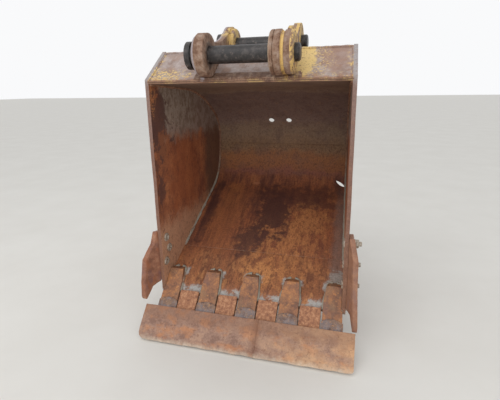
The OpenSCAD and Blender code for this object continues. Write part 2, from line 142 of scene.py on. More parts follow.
# Lamps: [name, power in watts, width and height, place, what it aims at]
LAMPS = [
    ["sky_lamp", 95.0, (5.0, 4.0), (-1.0, -3.5, 3.6), (0, 0.2, -0.8)],
    ["front_lamp", 22.0, (3.5, 2.0), (0.4, -3.8, -0.1), (0, 0.6, -0.8)],
]


def clamp(value):
    """A value held between 0 and 1."""
    return min(1.0, max(0.0, value))


def tone(red, green, blue):
    """A colour written as it looks on a screen, as the linear value that a shader takes."""
    return tuple((c / 255.0) ** 2.2 for c in (red, green, blue)) + (1.0,)


# Darker and lighter tone of the floor
FLOOR_TONES = (tone(214, 210, 203), tone(226, 223, 217))


class Finish:
    """One material, written as expressions whose values are sockets.

    Sizes and depths are in metres, and a shift takes the noise from another place.
    """

    def __init__(self, name):
        self.material = bpy.data.materials.new(name)
        self.material.use_nodes = True
        self.tree = self.material.node_tree
        self.shader = self.tree.nodes["Principled BSDF"]
        self.place = self.add("ShaderNodeTexCoord").outputs["Object"]
        self.x, self.y, self.z = self.add("ShaderNodeSeparateXYZ", {0: self.place}).outputs
        self.facing = self.add("ShaderNodeNewGeometry").outputs["Normal"]
        self.across = self.add("ShaderNodeSeparateXYZ", {0: self.facing}).outputs[0]

    def add(self, kind, inputs=None, **settings):
        """A new node with its inputs and its settings."""
        node = self.tree.nodes.new(kind)
        for key, value in settings.items():
            setattr(node, key, value)
        for key, value in (inputs or {}).items():
            self.feed(node.inputs[key], value)
        return node

    def feed(self, socket, value):
        """Links a socket to another one, or sets it to a value."""
        if isinstance(value, bpy.types.NodeSocket):
            self.tree.links.new(value, socket)
        else:
            socket.default_value = value

    def math(self, kind, a, b=0.0):
        """One value out of two."""
        return self.add("ShaderNodeMath", {0: a, 1: b}, operation=kind).outputs[0]

    def plus(self, a, b):
        """The sum of two values."""
        return self.math("ADD", a, b)

    def times(self, a, b):
        """The product of two values, which leaves of a mask what lies in the other."""
        return self.math("MULTIPLY", a, b)

    def either(self, a, b):
        """The larger value, which joins two masks."""
        return self.math("MAXIMUM", a, b)

    def vector(self, kind, a, b):
        """A vector, a length or a product out of two vectors."""
        node = self.add("ShaderNodeVectorMath", {0: a, 1: b}, operation=kind)
        return node.outputs["Value" if kind in ("LENGTH", "DOT_PRODUCT") else "Vector"]

    def noise(self, size, detail=4.0, rough=0.6, stretch=(1, 1, 1), shift=0.0):
        """Cloudy values about 0.5, with spots of a size in metres, longer along the axes in stretch."""
        scale = tuple(1.0 / (size * s) for s in stretch)
        place = self.vector("MULTIPLY", self.place, scale)
        place = self.vector("ADD", place, (shift, shift * 1.7, shift * 0.6))
        inputs = {"Vector": place, "Scale": 1.0, "Detail": detail, "Roughness": rough}
        return self.add("ShaderNodeTexNoise", inputs).outputs["Fac"]

    def wave(self, size, reach, shift=0.0):
        """An uneven shift of up to about a reach to either side."""
        about_zero = self.math("SUBTRACT", self.noise(size, 4.0, 0.65, shift=shift), 0.5)
        return self.times(about_zero, 4.0 * reach)

    def step(self, value, low, high):
        """0 below low and 1 above high, smooth between them. Low may be the larger one."""
        inputs = {"Value": value, "From Min": low, "From Max": high}
        return self.add("ShaderNodeMapRange", inputs, interpolation_type="SMOOTHSTEP").outputs["Result"]

    def zone(self, value, low, high, soft):
        """1 between two values, and 0 outside them."""
        above = self.step(value, low - soft, low + soft)
        below = self.step(value, high + soft, high - soft)
        return self.times(above, below)

    def spots(self, size, share, soft=0.05, stretch=(1, 1, 1), shift=0.0):
        """Ragged spots that cover about a share of the surface."""
        edge = 0.5 + NOISE_SPREAD * (0.5 - share)
        return self.step(self.noise(size, 5.0, 0.62, stretch, shift), edge - soft, edge + soft)

    def blob(self, centre, size, ragged, grain, soft, shift=0.0):
        """1 inside a patch with its middle and half sizes, and 0 outside it. Its rim is ragged and soft."""
        away = self.vector("DIVIDE", self.vector("SUBTRACT", self.place, centre), size)
        reach = self.plus(self.vector("LENGTH", away, (0, 0, 0)), self.wave(grain, ragged, shift))
        return self.step(reach, 1.0 + soft, 1.0 - soft)

    def mix(self, share, a, b):
        """A share of colour b over colour a. The colour sockets are inputs 6 and 7 and output 2."""
        node = self.add("ShaderNodeMix", data_type="RGBA")
        self.feed(node.inputs["Factor"], share)
        self.feed(node.inputs[6], a)
        self.feed(node.inputs[7], b)
        return node.outputs[2]

    def layers(self, colour, *covers):
        """A colour under others: each cover is its mask, its colour and how strong it is."""
        for mask, cover, share in covers:
            colour = self.mix(mask if share == 1 else self.times(mask, share), colour, cover)
        return colour

    def ramp(self, value, *stops):
        """Colours along a value: each stop is its place and its colour."""
        colour = stops[0][1]
        for (low, _), (high, over) in zip(stops, stops[1:]):
            colour = self.mix(self.step(value, low, high), colour, over)
        return colour

    def clouds(self, dark, middle, light, size, stretch=(1, 1, 1), shift=0.0):
        """Three tones of rust in clouds, and the value that makes them."""
        cloud = self.noise(size, 6.0, 0.62, stretch, shift)
        grain = self.noise(CLOUD_GRAIN, 3.0, 0.7, shift=shift + 3.0)
        value = self.plus(cloud, self.times(self.math("SUBTRACT", grain, 0.5), 0.4))
        return self.ramp(value, *zip(CLOUD_STOPS, (dark, middle, light))), value

    def grained(self, colour, share):
        """A colour with fine lighter and darker grain."""
        light = self.noise(FINE_GRAIN, 3.0, 0.7, shift=11.0)
        factor = self.plus(self.times(self.math("SUBTRACT", light, 0.5), 2.0 * share), 1.0)
        node = self.add("ShaderNodeVectorMath", {0: colour, 3: factor}, operation="SCALE")
        return node.outputs["Vector"]

    def finish(self, colour, rough, height=None, depth=0.0):
        """The material with its colour, its roughness and its bumps."""
        self.feed(self.shader.inputs["Base Color"], colour)
        self.feed(self.shader.inputs["Roughness"], rough)
        if height is not None:
            bump = self.add("ShaderNodeBump", {"Height": height, "Distance": depth, "Strength": 1.0})
            self.feed(self.shader.inputs["Normal"], bump.outputs["Normal"])
        return self.material


def outside(f):
    """1 on faces that look away from the middle of the bucket, and 0 on those that look into it."""
    away = f.vector("SUBTRACT", f.place, BUCKET_MIDDLE)
    return f.step(f.vector("DOT_PRODUCT", away, f.facing), -0.02, 0.02)


def outer_skin(f):
    """Outside of the bucket: brown rust, remains of paint above, soil and polished scratches below."""
    rusty, _ = f.clouds(
        tone(108, 80, 66), tone(138, 104, 84), tone(160, 126, 102), 0.06, (1, 1, 1.3), 7.0
    )
    high = f.step(f.plus(f.z, f.wave(0.20, 0.10)), -0.70, -0.30)
    paint = f.times(high, f.spots(0.14, 0.36, 0.03, shift=12.0))
    low = f.step(f.plus(f.z, f.wave(0.12, 0.06)), -0.85, -1.10)
    return f.layers(
        rusty,
        (f.spots(0.30, 0.5, 0.15, shift=3.0), tone(132, 88, 62), 0.5),
        (paint, tone(190, 160, 104), 0.75),
        (f.times(paint, f.spots(0.02, 0.38, 0.04, shift=2.0)), tone(144, 106, 80), 0.9),
        (f.spots(0.05, 0.22, 0.05, (1, 1, 5), 5.0), tone(92, 66, 56), 0.45),
        (low, tone(164, 138, 114), 0.45),
        (f.times(low, f.spots(0.04, 0.35, 0.06, (1, 4, 1.5), 8.0)), tone(146, 138, 132), 0.6),
    )


def shell_colours(f):
    """Roof, back and heel: brown, purple brown, olive, orange and dark red, in bands across."""
    down = f.plus(f.math("SUBTRACT", f.times(f.y, 0.3), f.z), f.wave(0.08, 0.025))
    down = f.math("SUBTRACT", down, f.times(f.times(f.x, f.x), 0.13))
    bands = f.ramp(
        down,
        (0.16, tone(122, 98, 82)),
        (0.33, tone(134, 110, 92)),
        (0.37, tone(120, 98, 90)),
        (0.63, tone(126, 103, 94)),
        (0.74, tone(134, 110, 90)),
        (0.87, tone(136, 104, 76)),
        (0.94, tone(152, 98, 60)),
        (1.00, tone(146, 92, 58)),
        (1.04, tone(136, 83, 66)),
        (1.20, tone(136, 80, 60)),
    )
    return f.layers(
        bands,
        (f.zone(down, 0.345, 0.353, 0.006), tone(154, 134, 116), 0.6),
        (f.spots(0.10, 0.35, 0.10, shift=3.0), tone(100, 78, 70), 0.35),
        (f.spots(0.014, 0.30, shift=6.0), tone(92, 66, 54), 0.45),
    )


def worn_back():
    """Back plate: the shell's bands inside, the outer skin outside."""
    f = Finish("worn_back")
    colour = f.layers(
        shell_colours(f),
        (f.spots(0.06, 0.3, 0.08, (1, 1, 2.5), 4.0), tone(96, 74, 66), 0.35),
        (f.spots(0.03, 0.18, shift=8.0), tone(146, 112, 86), 0.4),
    )
    colour = f.mix(outside(f), colour, outer_skin(f))
    relief = f.noise(0.05, 6.0, 0.65)
    return f.finish(f.grained(colour, 0.5), rough=0.72, height=relief, depth=0.0015)


def beside_adapters(f, shift):
    """How far a place is from the middle of the nearest adapter, or of the nearest gap between two."""
    half = TOOTH_PITCH / 2
    node = f.add("ShaderNodeMath", {0: f.plus(f.x, shift), 1: half, 2: -half}, operation="WRAP")
    return f.math("ABSOLUTE", node.outputs[0])


def rubbed_welds(f):
    """Bare grey steel round the adapters' rear ends and behind the connecting plates, in patches."""
    ragged = f.wave(0.03, 0.012, 2.0)
    ends = f.times(
        f.zone(f.plus(f.y, ragged), 0.150, 0.195, 0.008),
        f.step(f.plus(beside_adapters(f, 0.0), ragged), 0.068, 0.050),
    )
    gaps = f.times(
        f.zone(f.plus(f.y, ragged), 0.045, 0.095, 0.008),
        f.step(f.plus(beside_adapters(f, TOOTH_PITCH / 2), ragged), 0.082, 0.060),
    )
    return f.times(f.either(ends, gaps), f.spots(0.07, 0.62, 0.08, shift=4.0))


def worn_floor():
    """Floor, heel and lip: scoured rust in patches inside, the outer skin outside."""
    f = Finish("worn_floor")
    floor = f.ramp(
        f.plus(f.noise(0.085, 6.0, 0.62, (0.45, 2.6, 2.6)), f.wave(0.015, 0.04, 5.0)),
        (0.34, tone(90, 54, 42)),
        (0.46, tone(124, 73, 48)),
        (0.56, tone(148, 88, 54)),
        (0.68, tone(168, 105, 63)),
    )
    ochre = f.times(
        f.either(
            f.blob((0.12, 0.38, -1.10), (0.22, 0.30, 0.30), 0.6, 0.07, 0.4),
            f.blob((0.24, 0.60, -1.00), (0.14, 0.20, 0.2), 0.7, 0.05, 0.4, 7.0),
        ),
        f.spots(0.050, 0.64, 0.06, (0.8, 1.8, 1.8), 6.0),
    )
    below_heel = f.step(f.plus(f.z, f.wave(0.05, 0.02)), -0.75, -0.79)
    left = f.plus(f.times(f.step(f.x, 0.20, -0.05), 0.7), 0.3)
    streaks = f.times(f.times(below_heel, left), f.spots(0.060, 0.34, 0.05, (0.5, 6, 6), 7.0))
    low = f.step(f.plus(f.y, f.wave(0.08, 0.05)), 0.42, 0.22)
    right = f.times(
        f.step(f.plus(f.x, f.wave(0.05, 0.02)), 0.41, 0.46),
        f.step(f.z, -0.80, -0.95),
    )
    colour = f.layers(
        shell_colours(f),
        (below_heel, floor, 0.75),
        (streaks, tone(84, 50, 40), 0.7),
        (low, tone(164, 110, 72), 0.40),
        (ochre, tone(184, 122, 74), 0.7),
        (f.times(ochre, f.spots(0.024, 0.35, 0.05, (0.8, 1.4, 1.4), 3.0)), tone(120, 70, 48), 0.7),
        (f.blob((0.02, 0.19, -1.20), (0.10, 0.07, 0.1), 0.8, 0.04, 0.2, 4.0), tone(192, 130, 80), 0.8),
        (f.blob((-0.30, 0.86, -0.86), (0.05, 0.05, 0.05), 0.8, 0.03, 0.3, 5.0), tone(168, 104, 64), 0.7),
        (f.blob((0.02, 0.66, -0.96), (0.12, 0.24, 0.2), 0.9, 0.07, 0.3, 3.0), tone(76, 46, 40), 0.9),
        (f.blob((-0.10, 0.42, -1.09), (0.07, 0.13, 0.1), 0.9, 0.05, 0.35, 1.0), tone(80, 50, 42), 0.85),
        (f.blob((0.20, 0.80, -0.90), (0.30, 0.10, 0.1), 0.9, 0.06, 0.35, 2.0), tone(84, 50, 42), 0.7),
        (f.spots(0.012, 0.28, 0.05, (0.8, 1.4, 1.4), 9.0), tone(88, 52, 40), 0.55),
        (f.blob((-0.43, 0.66, -0.96), (0.035, 0.30, 0.3), 0.6, 0.06, 0.4, 6.0), tone(76, 46, 40), 0.75),
        (f.blob((-0.30, 0.60, -1.0), (0.10, 0.30, 0.3), 0.6, 0.06, 0.5, 9.0), tone(150, 92, 56), 0.45),
        (right, tone(130, 108, 98), 0.6),
        (f.blob((-0.16, 0.90, -0.83), (0.025, 0.012, 0.01), 0.4, 0.01, 0.4), tone(170, 110, 78), 0.8),
        (f.times(low, f.spots(0.06, 0.30, 0.06, (0.7, 1.8, 1.8), 8.0)), tone(100, 60, 44), 0.7),
        (f.times(low, f.spots(0.05, 0.25, 0.06, (0.8, 1.5, 1.5), 5.0)), tone(190, 130, 82), 0.6),
        (rubbed_welds(f), tone(172, 172, 168), 0.85),
        (f.blob((0.48, 0.20, -1.19), (0.05, 0.07, 0.1), 0.8, 0.03, 0.3), tone(150, 146, 140), 0.7),
    )
    colour = f.mix(outside(f), colour, outer_skin(f))
    relief = f.noise(0.03, 6.0, 0.7, (1, 1.6, 1.6))
    return f.finish(f.grained(colour, 0.65), rough=0.72, height=relief, depth=0.003)


def inner_side(f):
    """Inner face of a side plate: olive above, dark below the mouth, orange red to the heel."""
    rusty, value = f.clouds(
        tone(128, 80, 61), tone(164, 102, 70), tone(184, 118, 79), 0.09, (1, 1, 1.6), 5.0
    )
    olive = f.times(
        f.step(f.plus(f.z, f.wave(0.07, 0.05)), -0.47, -0.36),
        f.step(f.plus(f.y, f.wave(0.06, 0.02)), 0.12, 0.16),
    )
    pale = f.blob((0, 0.38, -0.22), (SIDE_REACH, 0.24, 0.15), 0.6, 0.06, 0.3, 4.0)
    specks = f.times(
        f.blob((0, 0.06, -0.20), (SIDE_REACH, 0.04, 0.10), 0.4, 0.03, 0.3),
        f.spots(0.012, 0.45),
    )
    colour = f.layers(
        rusty,
        (f.blob((0, 0.38, -0.64), (SIDE_REACH, 0.20, 0.24), 0.6, 0.08, 0.5, 8.0), tone(158, 88, 54), 0.6),
        (f.step(f.plus(f.y, f.wave(0.05, 0.04)), 0.66, 0.78), tone(112, 86, 70), 0.85),
        (olive, tone(158, 140, 128), 0.95),
        (f.times(olive, pale), tone(164, 150, 134), 0.6),
        (f.times(olive, f.spots(0.045, 0.40, 0.08, (1, 1, 1.4), 6.0)), tone(122, 100, 88), 0.7),
        (f.blob((0, 0.10, -0.33), (SIDE_REACH, 0.13, 0.16), 0.9, 0.06, 0.2), tone(96, 68, 62), 0.92),
        (specks, tone(196, 134, 88), 0.8),
        (f.blob((0, 0.165, -0.45), (SIDE_REACH, 0.06, 0.09), 0.8, 0.04, 0.3, 2.0), tone(170, 106, 70), 0.6),
        (f.blob((0, 0.10, -0.69), (SIDE_REACH, 0.04, 0.08), 0.9, 0.04, 0.3, 3.0), tone(96, 66, 60), 0.8),
        (f.blob((0, 0.05, -0.55), (SIDE_REACH, 0.03, 0.05), 0.9, 0.04, 0.3, 1.0), tone(100, 68, 60), 0.7),
        (f.step(f.plus(f.z, f.wave(0.06, 0.04)), -0.84, -0.98), tone(196, 152, 122), 0.8),
        (f.spots(0.02, 0.25, 0.06, (1, 1, 1.5), 9.0), tone(96, 62, 50), 0.45),
    )
    return colour, value


def side_steel():
    """Side plates: flanks of their own inside, the outer skin outside, and a rubbed rim between."""
    f = Finish("side_steel")
    inner, value = inner_side(f)
    flank = f.step(f.times(f.x, f.across), -0.1, -0.3)
    rim = f.step(f.math("ABSOLUTE", f.across), 0.7, 0.5)
    rim_colour = f.ramp(
        f.plus(f.z, f.wave(0.05, 0.02)),
        (-1.2, tone(132, 94, 74)),
        (-0.7, tone(122, 88, 74)),
        (-0.16, tone(132, 106, 96)),
        (-0.08, tone(158, 150, 148)),
    )
    colour = f.layers(
        outer_skin(f),
        (flank, inner, 1),
        (rim, rim_colour, 1),
        (f.times(rim, f.spots(0.03, 0.3)), tone(150, 112, 90), 0.35),
    )
    return f.finish(f.grained(colour, 0.5), rough=0.72, height=value, depth=0.002)


def painted_remains():
    """Box under the ears: pale bare steel, with remains of yellow paint at corners and rims."""
    f = Finish("painted_remains")
    bare, value = f.clouds(tone(140, 118, 108), tone(160, 143, 136), tone(174, 158, 152), 0.05, shift=2.0)
    low = f.plus(f.z, f.wave(0.03, 0.012))
    ends = f.either(f.step(f.x, 0.46, 0.50), f.step(f.x, -0.46, -0.50))
    edge = f.times(f.step(low, -0.075, -0.105), f.step(f.math("ABSOLUTE", f.x), 0.30, 0.46))
    rims = f.times(f.either(edge, ends), f.spots(0.020, 0.34))
    corner = f.times(
        f.blob((-0.43, 0.08, -0.085), (0.12, 0.09, 0.035), 0.6, 0.03, 0.3),
        f.spots(0.012, 0.45),
    )
    patch = f.blob((0.270, 0.16, -0.03), (0.055, 0.14, 0.13), 0.35, 0.03, 0.15)
    paint = f.either(f.either(patch, corner), rims)
    around = f.blob((0.30, 0.15, -0.03), (0.10, 0.2, 0.13), 0.5, 0.04, 0.3, 3.0)
    chips = f.times(f.either(paint, around), f.spots(0.009, 0.22, 0.04, shift=5.0))
    colour = f.layers(
        bare,
        (f.spots(0.05, 0.35, 0.1, shift=9.0), tone(154, 122, 104), 0.6),
        (f.blob((0.42, 0.20, 0.0), (0.08, 0.12, 0.12), 0.8, 0.05, 0.4, 6.0), tone(148, 112, 94), 0.55),
        (f.times(around, f.spots(0.010, 0.38)), tone(210, 178, 120), 0.8),
        (paint, tone(222, 190, 122), 0.9),
        (chips, tone(142, 104, 78), 0.8),
        (f.times(f.step(low, -0.085, -0.115), f.spots(0.03, 0.5, shift=6.0)), tone(168, 112, 72), 0.7),
        (f.step(f.y, 0.27, 0.42), tone(150, 118, 92), 0.8),
    )
    return f.finish(f.grained(colour, 0.22), rough=0.62, height=value, depth=0.0008)


def ear_steel():
    """Ears, bar and ring: brown steel, bright chamfers, remains of paint, grease at the arm pin."""
    f = Finish("ear_steel")
    bare, value = f.clouds(tone(110, 79, 60), tone(136, 107, 88), tone(154, 130, 114), 0.035, shift=7.0)
    from_pin = f.vector("LENGTH", f.vector("MULTIPLY", f.place, (0, 1, 1)), (0, 0, 0))
    grease = f.times(
        f.step(f.plus(from_pin, f.wave(0.03, 0.012)), 0.066, 0.050),
        f.step(f.math("ABSOLUTE", f.x), 0.16, 0.14),
    )
    chamfer = f.times(f.zone(f.x, -0.215, -0.193, 0.002), f.step(from_pin, 0.075, 0.088))
    groove = f.zone(f.x, 0.1985, 0.212, 0.001)
    bevel = f.times(f.zone(f.x, 0.240, 0.26, 0.002), f.spots(0.02, 0.6))
    colour = f.layers(
        bare,
        (chamfer, tone(164, 156, 160), 0.8),
        (f.zone(f.x, 0.14, 0.1515, 0.001), tone(174, 148, 122), 0.7),
        (f.times(f.either(groove, bevel), f.spots(0.03, 0.75)), tone(222, 184, 110), 0.85),
        (f.times(f.step(f.y, 0.30, 0.36), f.spots(0.05, 0.55)), tone(220, 186, 116), 0.8),
        (f.times(f.step(f.z, -0.070, -0.085), f.spots(0.02, 0.5)), tone(104, 76, 64), 0.7),
        (grease, tone(54, 48, 46), 0.85),
    )
    return f.finish(f.grained(colour, 0.35), rough=0.68, height=value, depth=0.0015)


def cast_steel():
    """Adapters: brown and orange rust."""
    f = Finish("cast_steel")
    rusty, value = f.clouds(tone(116, 80, 62), tone(144, 98, 70), tone(172, 116, 74), 0.045, shift=9.0)
    colour = f.layers(
        rusty,
        (f.spots(0.12, 0.4, 0.10, shift=1.0), tone(132, 104, 80), 0.6),
        (f.spots(0.06, 0.25, 0.06, (1, 2, 2), 3.0), tone(120, 86, 76), 0.7),
        (f.spots(0.02, 0.16, 0.04, shift=6.0), tone(196, 134, 80), 0.6),
    )
    return f.finish(f.grained(colour, 0.35), rough=0.62, height=value, depth=0.0018)


def cap_steel():
    """Tooth caps: greyer and darker than the adapters, with bare grey along the front."""
    f = Finish("cap_steel")
    rusty, value = f.clouds(tone(98, 74, 66), tone(124, 98, 84), tone(150, 116, 88), 0.03, shift=5.0)
    front = f.step(f.plus(f.y, f.wave(0.02, 0.012)), -0.005, -0.030)
    colour = f.layers(
        rusty,
        (f.spots(0.03, 0.35, 0.06, shift=2.0), tone(126, 112, 110), 0.7),
        (f.spots(0.014, 0.2, 0.04, shift=6.0), tone(186, 132, 84), 0.6),
        (f.times(front, f.spots(0.04, 0.7)), tone(140, 134, 138), 0.8),
    )
    return f.finish(f.grained(colour, 0.4), rough=0.6, height=value, depth=0.0018)


def plate_steel():
    """Connecting plates: orange rust, rubbed grey at the front."""
    f = Finish("plate_steel")
    rusty, value = f.clouds(tone(134, 90, 68), tone(162, 112, 82), tone(186, 136, 102), 0.02, shift=4.0)
    colour = f.layers(
        rusty,
        (f.spots(0.009, 0.18, 0.04, shift=1.0), tone(122, 74, 56), 0.7),
        (f.step(f.plus(f.y, f.wave(0.02, 0.01)), -0.050, -0.070), tone(150, 144, 140), 0.7),
    )
    return f.finish(f.grained(colour, 0.35), rough=0.75, height=value, depth=0.0018)


def blade_steel():
    """Blade: rust, orange to the right, dark at the joint, pale along the lower edge, and painted shade
    along the top.
    """
    f = Finish("blade_steel")
    rusty, value = f.clouds(tone(132, 100, 86), tone(152, 119, 102), tone(170, 134, 112), 0.06, shift=6.0)
    right = f.step(f.plus(f.x, f.wave(0.2, 0.10)), 0.0, 0.35)
    # Painted shade: the blade is darker along its top edge, below the teeth and connecting plates
    shaded_top = f.step(f.plus(f.z, f.wave(0.05, 0.012)), -1.42, -1.38)
    colour = f.layers(
        rusty,
        (f.spots(0.07, 0.35, 0.08, (1.5, 1, 1), 2.0), tone(184, 124, 84), 0.7),
        (f.times(right, f.spots(0.10, 0.6, 0.15, (1.4, 1, 1), 5.0)), tone(208, 164, 124), 0.7),
        (f.times(right, f.spots(0.04, 0.25, 0.06, shift=8.0)), tone(166, 122, 92), 0.6),
        (shaded_top, tone(130, 92, 72), 0.5),
        (f.spots(0.016, 0.2, shift=9.0), tone(116, 80, 64), 0.5),
        (f.zone(f.plus(f.x, f.wave(0.05, 0.01)), 0.06, 0.10, 0.02), tone(126, 86, 66), 0.5),
        (f.step(f.plus(f.z, f.wave(0.04, 0.012)), -1.465, -1.500), tone(206, 192, 172), 0.8),
    )
    return f.finish(f.grained(colour, 0.3), rough=0.72, height=value, depth=0.0018)


def cutter_steel():
    """Side cutters: reddish rust, paler on the right one."""
    f = Finish("cutter_steel")
    rusty, value = f.clouds(tone(122, 80, 62), tone(144, 98, 76), tone(164, 118, 92), 0.05, shift=8.0)
    colour = f.layers(
        rusty,
        (f.spots(0.06, 0.3, 0.08, (1, 1, 1.5), 2.0), tone(150, 92, 62), 0.7),
        (f.spots(0.05, 0.25, 0.08, (1, 1, 2), 4.0), tone(112, 88, 92), 0.5),
        (f.step(f.x, 0, 0.2), tone(156, 120, 98), 0.35),
    )
    return f.finish(f.grained(colour, 0.3), rough=0.7, height=value, depth=0.0015)


def greasy_steel():
    """Pins: dark steel with grease and a few pale spots."""
    f = Finish("greasy_steel")
    black, value = f.clouds(tone(36, 33, 33), tone(48, 44, 43), tone(70, 64, 62), 0.03, shift=1.0)
    colour = f.mix(f.times(f.spots(0.02, 0.12, 0.06, shift=3.0), 0.5), black, tone(124, 110, 102))
    return f.finish(colour, rough=0.45, height=value, depth=0.0015)


def weld_steel():
    """Beads of old weld: rusty brown, with bare grey where they are rubbed."""
    f = Finish("weld_steel")
    rusty, value = f.clouds(tone(112, 80, 64), tone(140, 102, 80), tone(164, 128, 104), 0.03, shift=2.0)
    grey = f.times(f.step(f.z, -0.60, -0.85), f.spots(0.10, 0.80, 0.08))
    colour = f.layers(rusty, (grey, tone(156, 153, 140), 0.85))
    return f.finish(f.grained(colour, 0.3), rough=0.6, height=value, depth=0.001)


def bolt_steel():
    """Bolts and nuts: pale steel with brown rust."""
    f = Finish("bolt_steel")
    rusty, value = f.clouds(tone(124, 104, 90), tone(158, 144, 128), tone(188, 178, 164), 0.012, shift=3.0)
    return f.finish(f.grained(rusty, 0.3), rough=0.55, height=value, depth=0.0008)


MAKERS = [
    worn_floor, worn_back, side_steel, painted_remains, ear_steel, cast_steel, cap_steel,
    plate_steel, blade_steel, cutter_steel, greasy_steel, weld_steel, bolt_steel,
]
FINISHES = {make.__name__: make() for make in MAKERS}


def dent(point):
    """Where a point of the bucket goes when the whole bucket is knocked about."""
    depth = DENT_DEPTH * clamp((DENT_TOP - point.z) / DENT_FADE)
    push = Vector(noise.noise(point / DENT_SIZE + Vector(shift)) for shift in DENT_SHIFTS)
    return point + push * depth


def rough(point, normal, depth, size):
    """Moves a point inwards by an uneven amount, so that a cast or rusty face isn't flat."""
    fine = noise.fractal(point / size, *FRACTAL)
    return point - normal * (depth * clamp(0.5 + fine))


def worn_up(point, low, reach):
    """Moves a point near a lower edge up by an uneven amount."""
    near = clamp((low + WORN_BAND - point.z) / WORN_BAND)
    rise = clamp(0.5 + noise.fractal(Vector((point.x / WORN_SIZE, 0, 0)), *FRACTAL))
    return Vector((point.x, point.y, point.z + reach * near * rise))


def keep_in(point, low, high):
    """The nearest point inside a box."""
    return Vector(min(max(c, a), b) for c, a, b in zip(point, low, high))


def solid(node):
    """The mesh of a solid, with its flat faces whole."""
    bm = bmesh.new()
    bm.from_mesh(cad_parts[node].data)
    bmesh.ops.remove_doubles(bm, verts=bm.verts, dist=SAME_POINT)
    bmesh.ops.dissolve_limit(bm, angle_limit=math.radians(FLAT_ANGLE), verts=bm.verts, edges=bm.edges)
    return bm


def sharp_edges(bm, angle):
    """Edges between two faces that meet at more than an angle in degrees."""
    edges = [e for e in bm.edges if len(e.link_faces) == 2]
    return [e for e in edges if e.calc_face_angle() > math.radians(angle)]


def cut_grid(bm, cell):
    """Cuts a mesh by planes across X, Y and Z at a distance, so that its faces can be dented."""
    low = Vector(min(v.co[i] for v in bm.verts) for i in range(3))
    high = Vector(max(v.co[i] for v in bm.verts) for i in range(3))
    for axis in range(3):
        count = int((high[axis] - low[axis]) / cell)
        for i in range(1, count + 1):
            point = Vector((0, 0, 0))
            point[axis] = low[axis] + (high[axis] - low[axis]) * i / (count + 1)
            direction = Vector((0, 0, 0))
            direction[axis] = 1
            geometry = bm.verts[:] + bm.edges[:] + bm.faces[:]
            bmesh.ops.bisect_plane(bm, geom=geometry, plane_co=point, plane_no=direction, dist=SAME_POINT)


def place_piece(name, bm, finish, angle, body="bucket"):
    """Makes an object of a mesh, with its finish, and lets it ride on its body."""
    mesh = bpy.data.meshes.new(name)
    bm.to_mesh(mesh)
    bm.free()
    mesh.shade_smooth()
    mesh.set_sharp_from_angle(angle=math.radians(angle))
    piece = bpy.data.objects.new(name, mesh)
    bpy.context.scene.collection.objects.link(piece)
    piece.data.materials.append(FINISHES[finish])
    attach(piece, body)
    return piece


def dress(node, finish, edge, cell, depth, size):
    """Makes a copy of a solid with rounded edges, dents and an uneven skin, which stands for it."""
    bm = solid(node)
    bmesh.ops.bevel(
        bm, geom=sharp_edges(bm, ROUNDED_ANGLE), offset=edge,
        segments=2, profile=0.5, affect="EDGES", clamp_overlap=True,
    )
    cut_grid(bm, cell)
    bm.normal_update()
    low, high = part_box(node)
    moved = [dent(rough(v.co, v.normal, depth, size)) for v in bm.verts]
    for v, point in zip(bm.verts, moved):
        v.co = keep_in(worn_up(point, low.z, WORN.get(node, 0.0)), low, high)
    piece = place_piece("dressed_" + node, bm, finish, SHARP_ANGLE, BODY_OF.get(node, "bucket"))
    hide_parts(node)


def numbered(name, count):
    """Names of nodes that differ in their number."""
    return ["%s_%d" % (name, i) for i in range(1, count + 1)]


ADAPTERS = numbered("adapter", 5)
TEETH = numbered("tooth", 5)
CONNECTORS = numbered("connecting_plate", 4)
STRIPS = numbered("wear_strip", 3)
SIDES = ["side_plate_left", "side_plate_right"]
CORNERS = ["corner_plate_left", "corner_plate_right"]
EARS = ["ear_left", "ear_right"]
CUTTERS = ["side_cutter_left", "side_cutter_right"]
BLADES = ["blade_left", "blade_right"]
BOX = ["box_front_plate", "box_rear_plate"]
PINS = ["arm_pin", "link_pin"]
# Bodies of the solids that aren't part of the bucket's own body
BODY_OF = {"arm_pin": "arm_pin_body", "link_pin": "link_pin_body"}

# Solids that share a finish: [finish, edge radius, grid cell, depth and size of the uneven skin, solids]
DRESS = [
    ["worn_floor", 0.0015, 0.03, 0.0008, 0.03, ["floor_plate", "lip_plate"] + STRIPS],
    ["worn_back", 0.0015, 0.03, 0.0006, 0.03, ["back_plate"]],
    ["side_steel", 0.003, 0.03, 0.0008, 0.03, SIDES + CORNERS],
    ["painted_remains", 0.0015, 0.03, 0.0005, 0.02, BOX],
    ["ear_steel", 0.003, 0.02, 0.0008, 0.02, EARS + ["adjusting_ring", "front_bar"]],
    ["cast_steel", 0.004, 0.012, 0.0014, 0.015, ADAPTERS],
    ["cap_steel", 0.004, 0.012, 0.0014, 0.015, TEETH],
    ["plate_steel", 0.003, 0.01, 0.0014, 0.010, CONNECTORS],
    ["blade_steel", 0.003, 0.02, 0.0012, 0.02, BLADES],
    ["cutter_steel", 0.004, 0.02, 0.0012, 0.02, CUTTERS],
    ["greasy_steel", 0.002, 0.012, 0.0004, 0.012, PINS],
]


def dress_solids():
    """Gives every solid its dressed copy."""
    for finish, edge, cell, depth, size, nodes in DRESS:
        for node in nodes:
            dress(node, finish, edge, cell, depth, size)


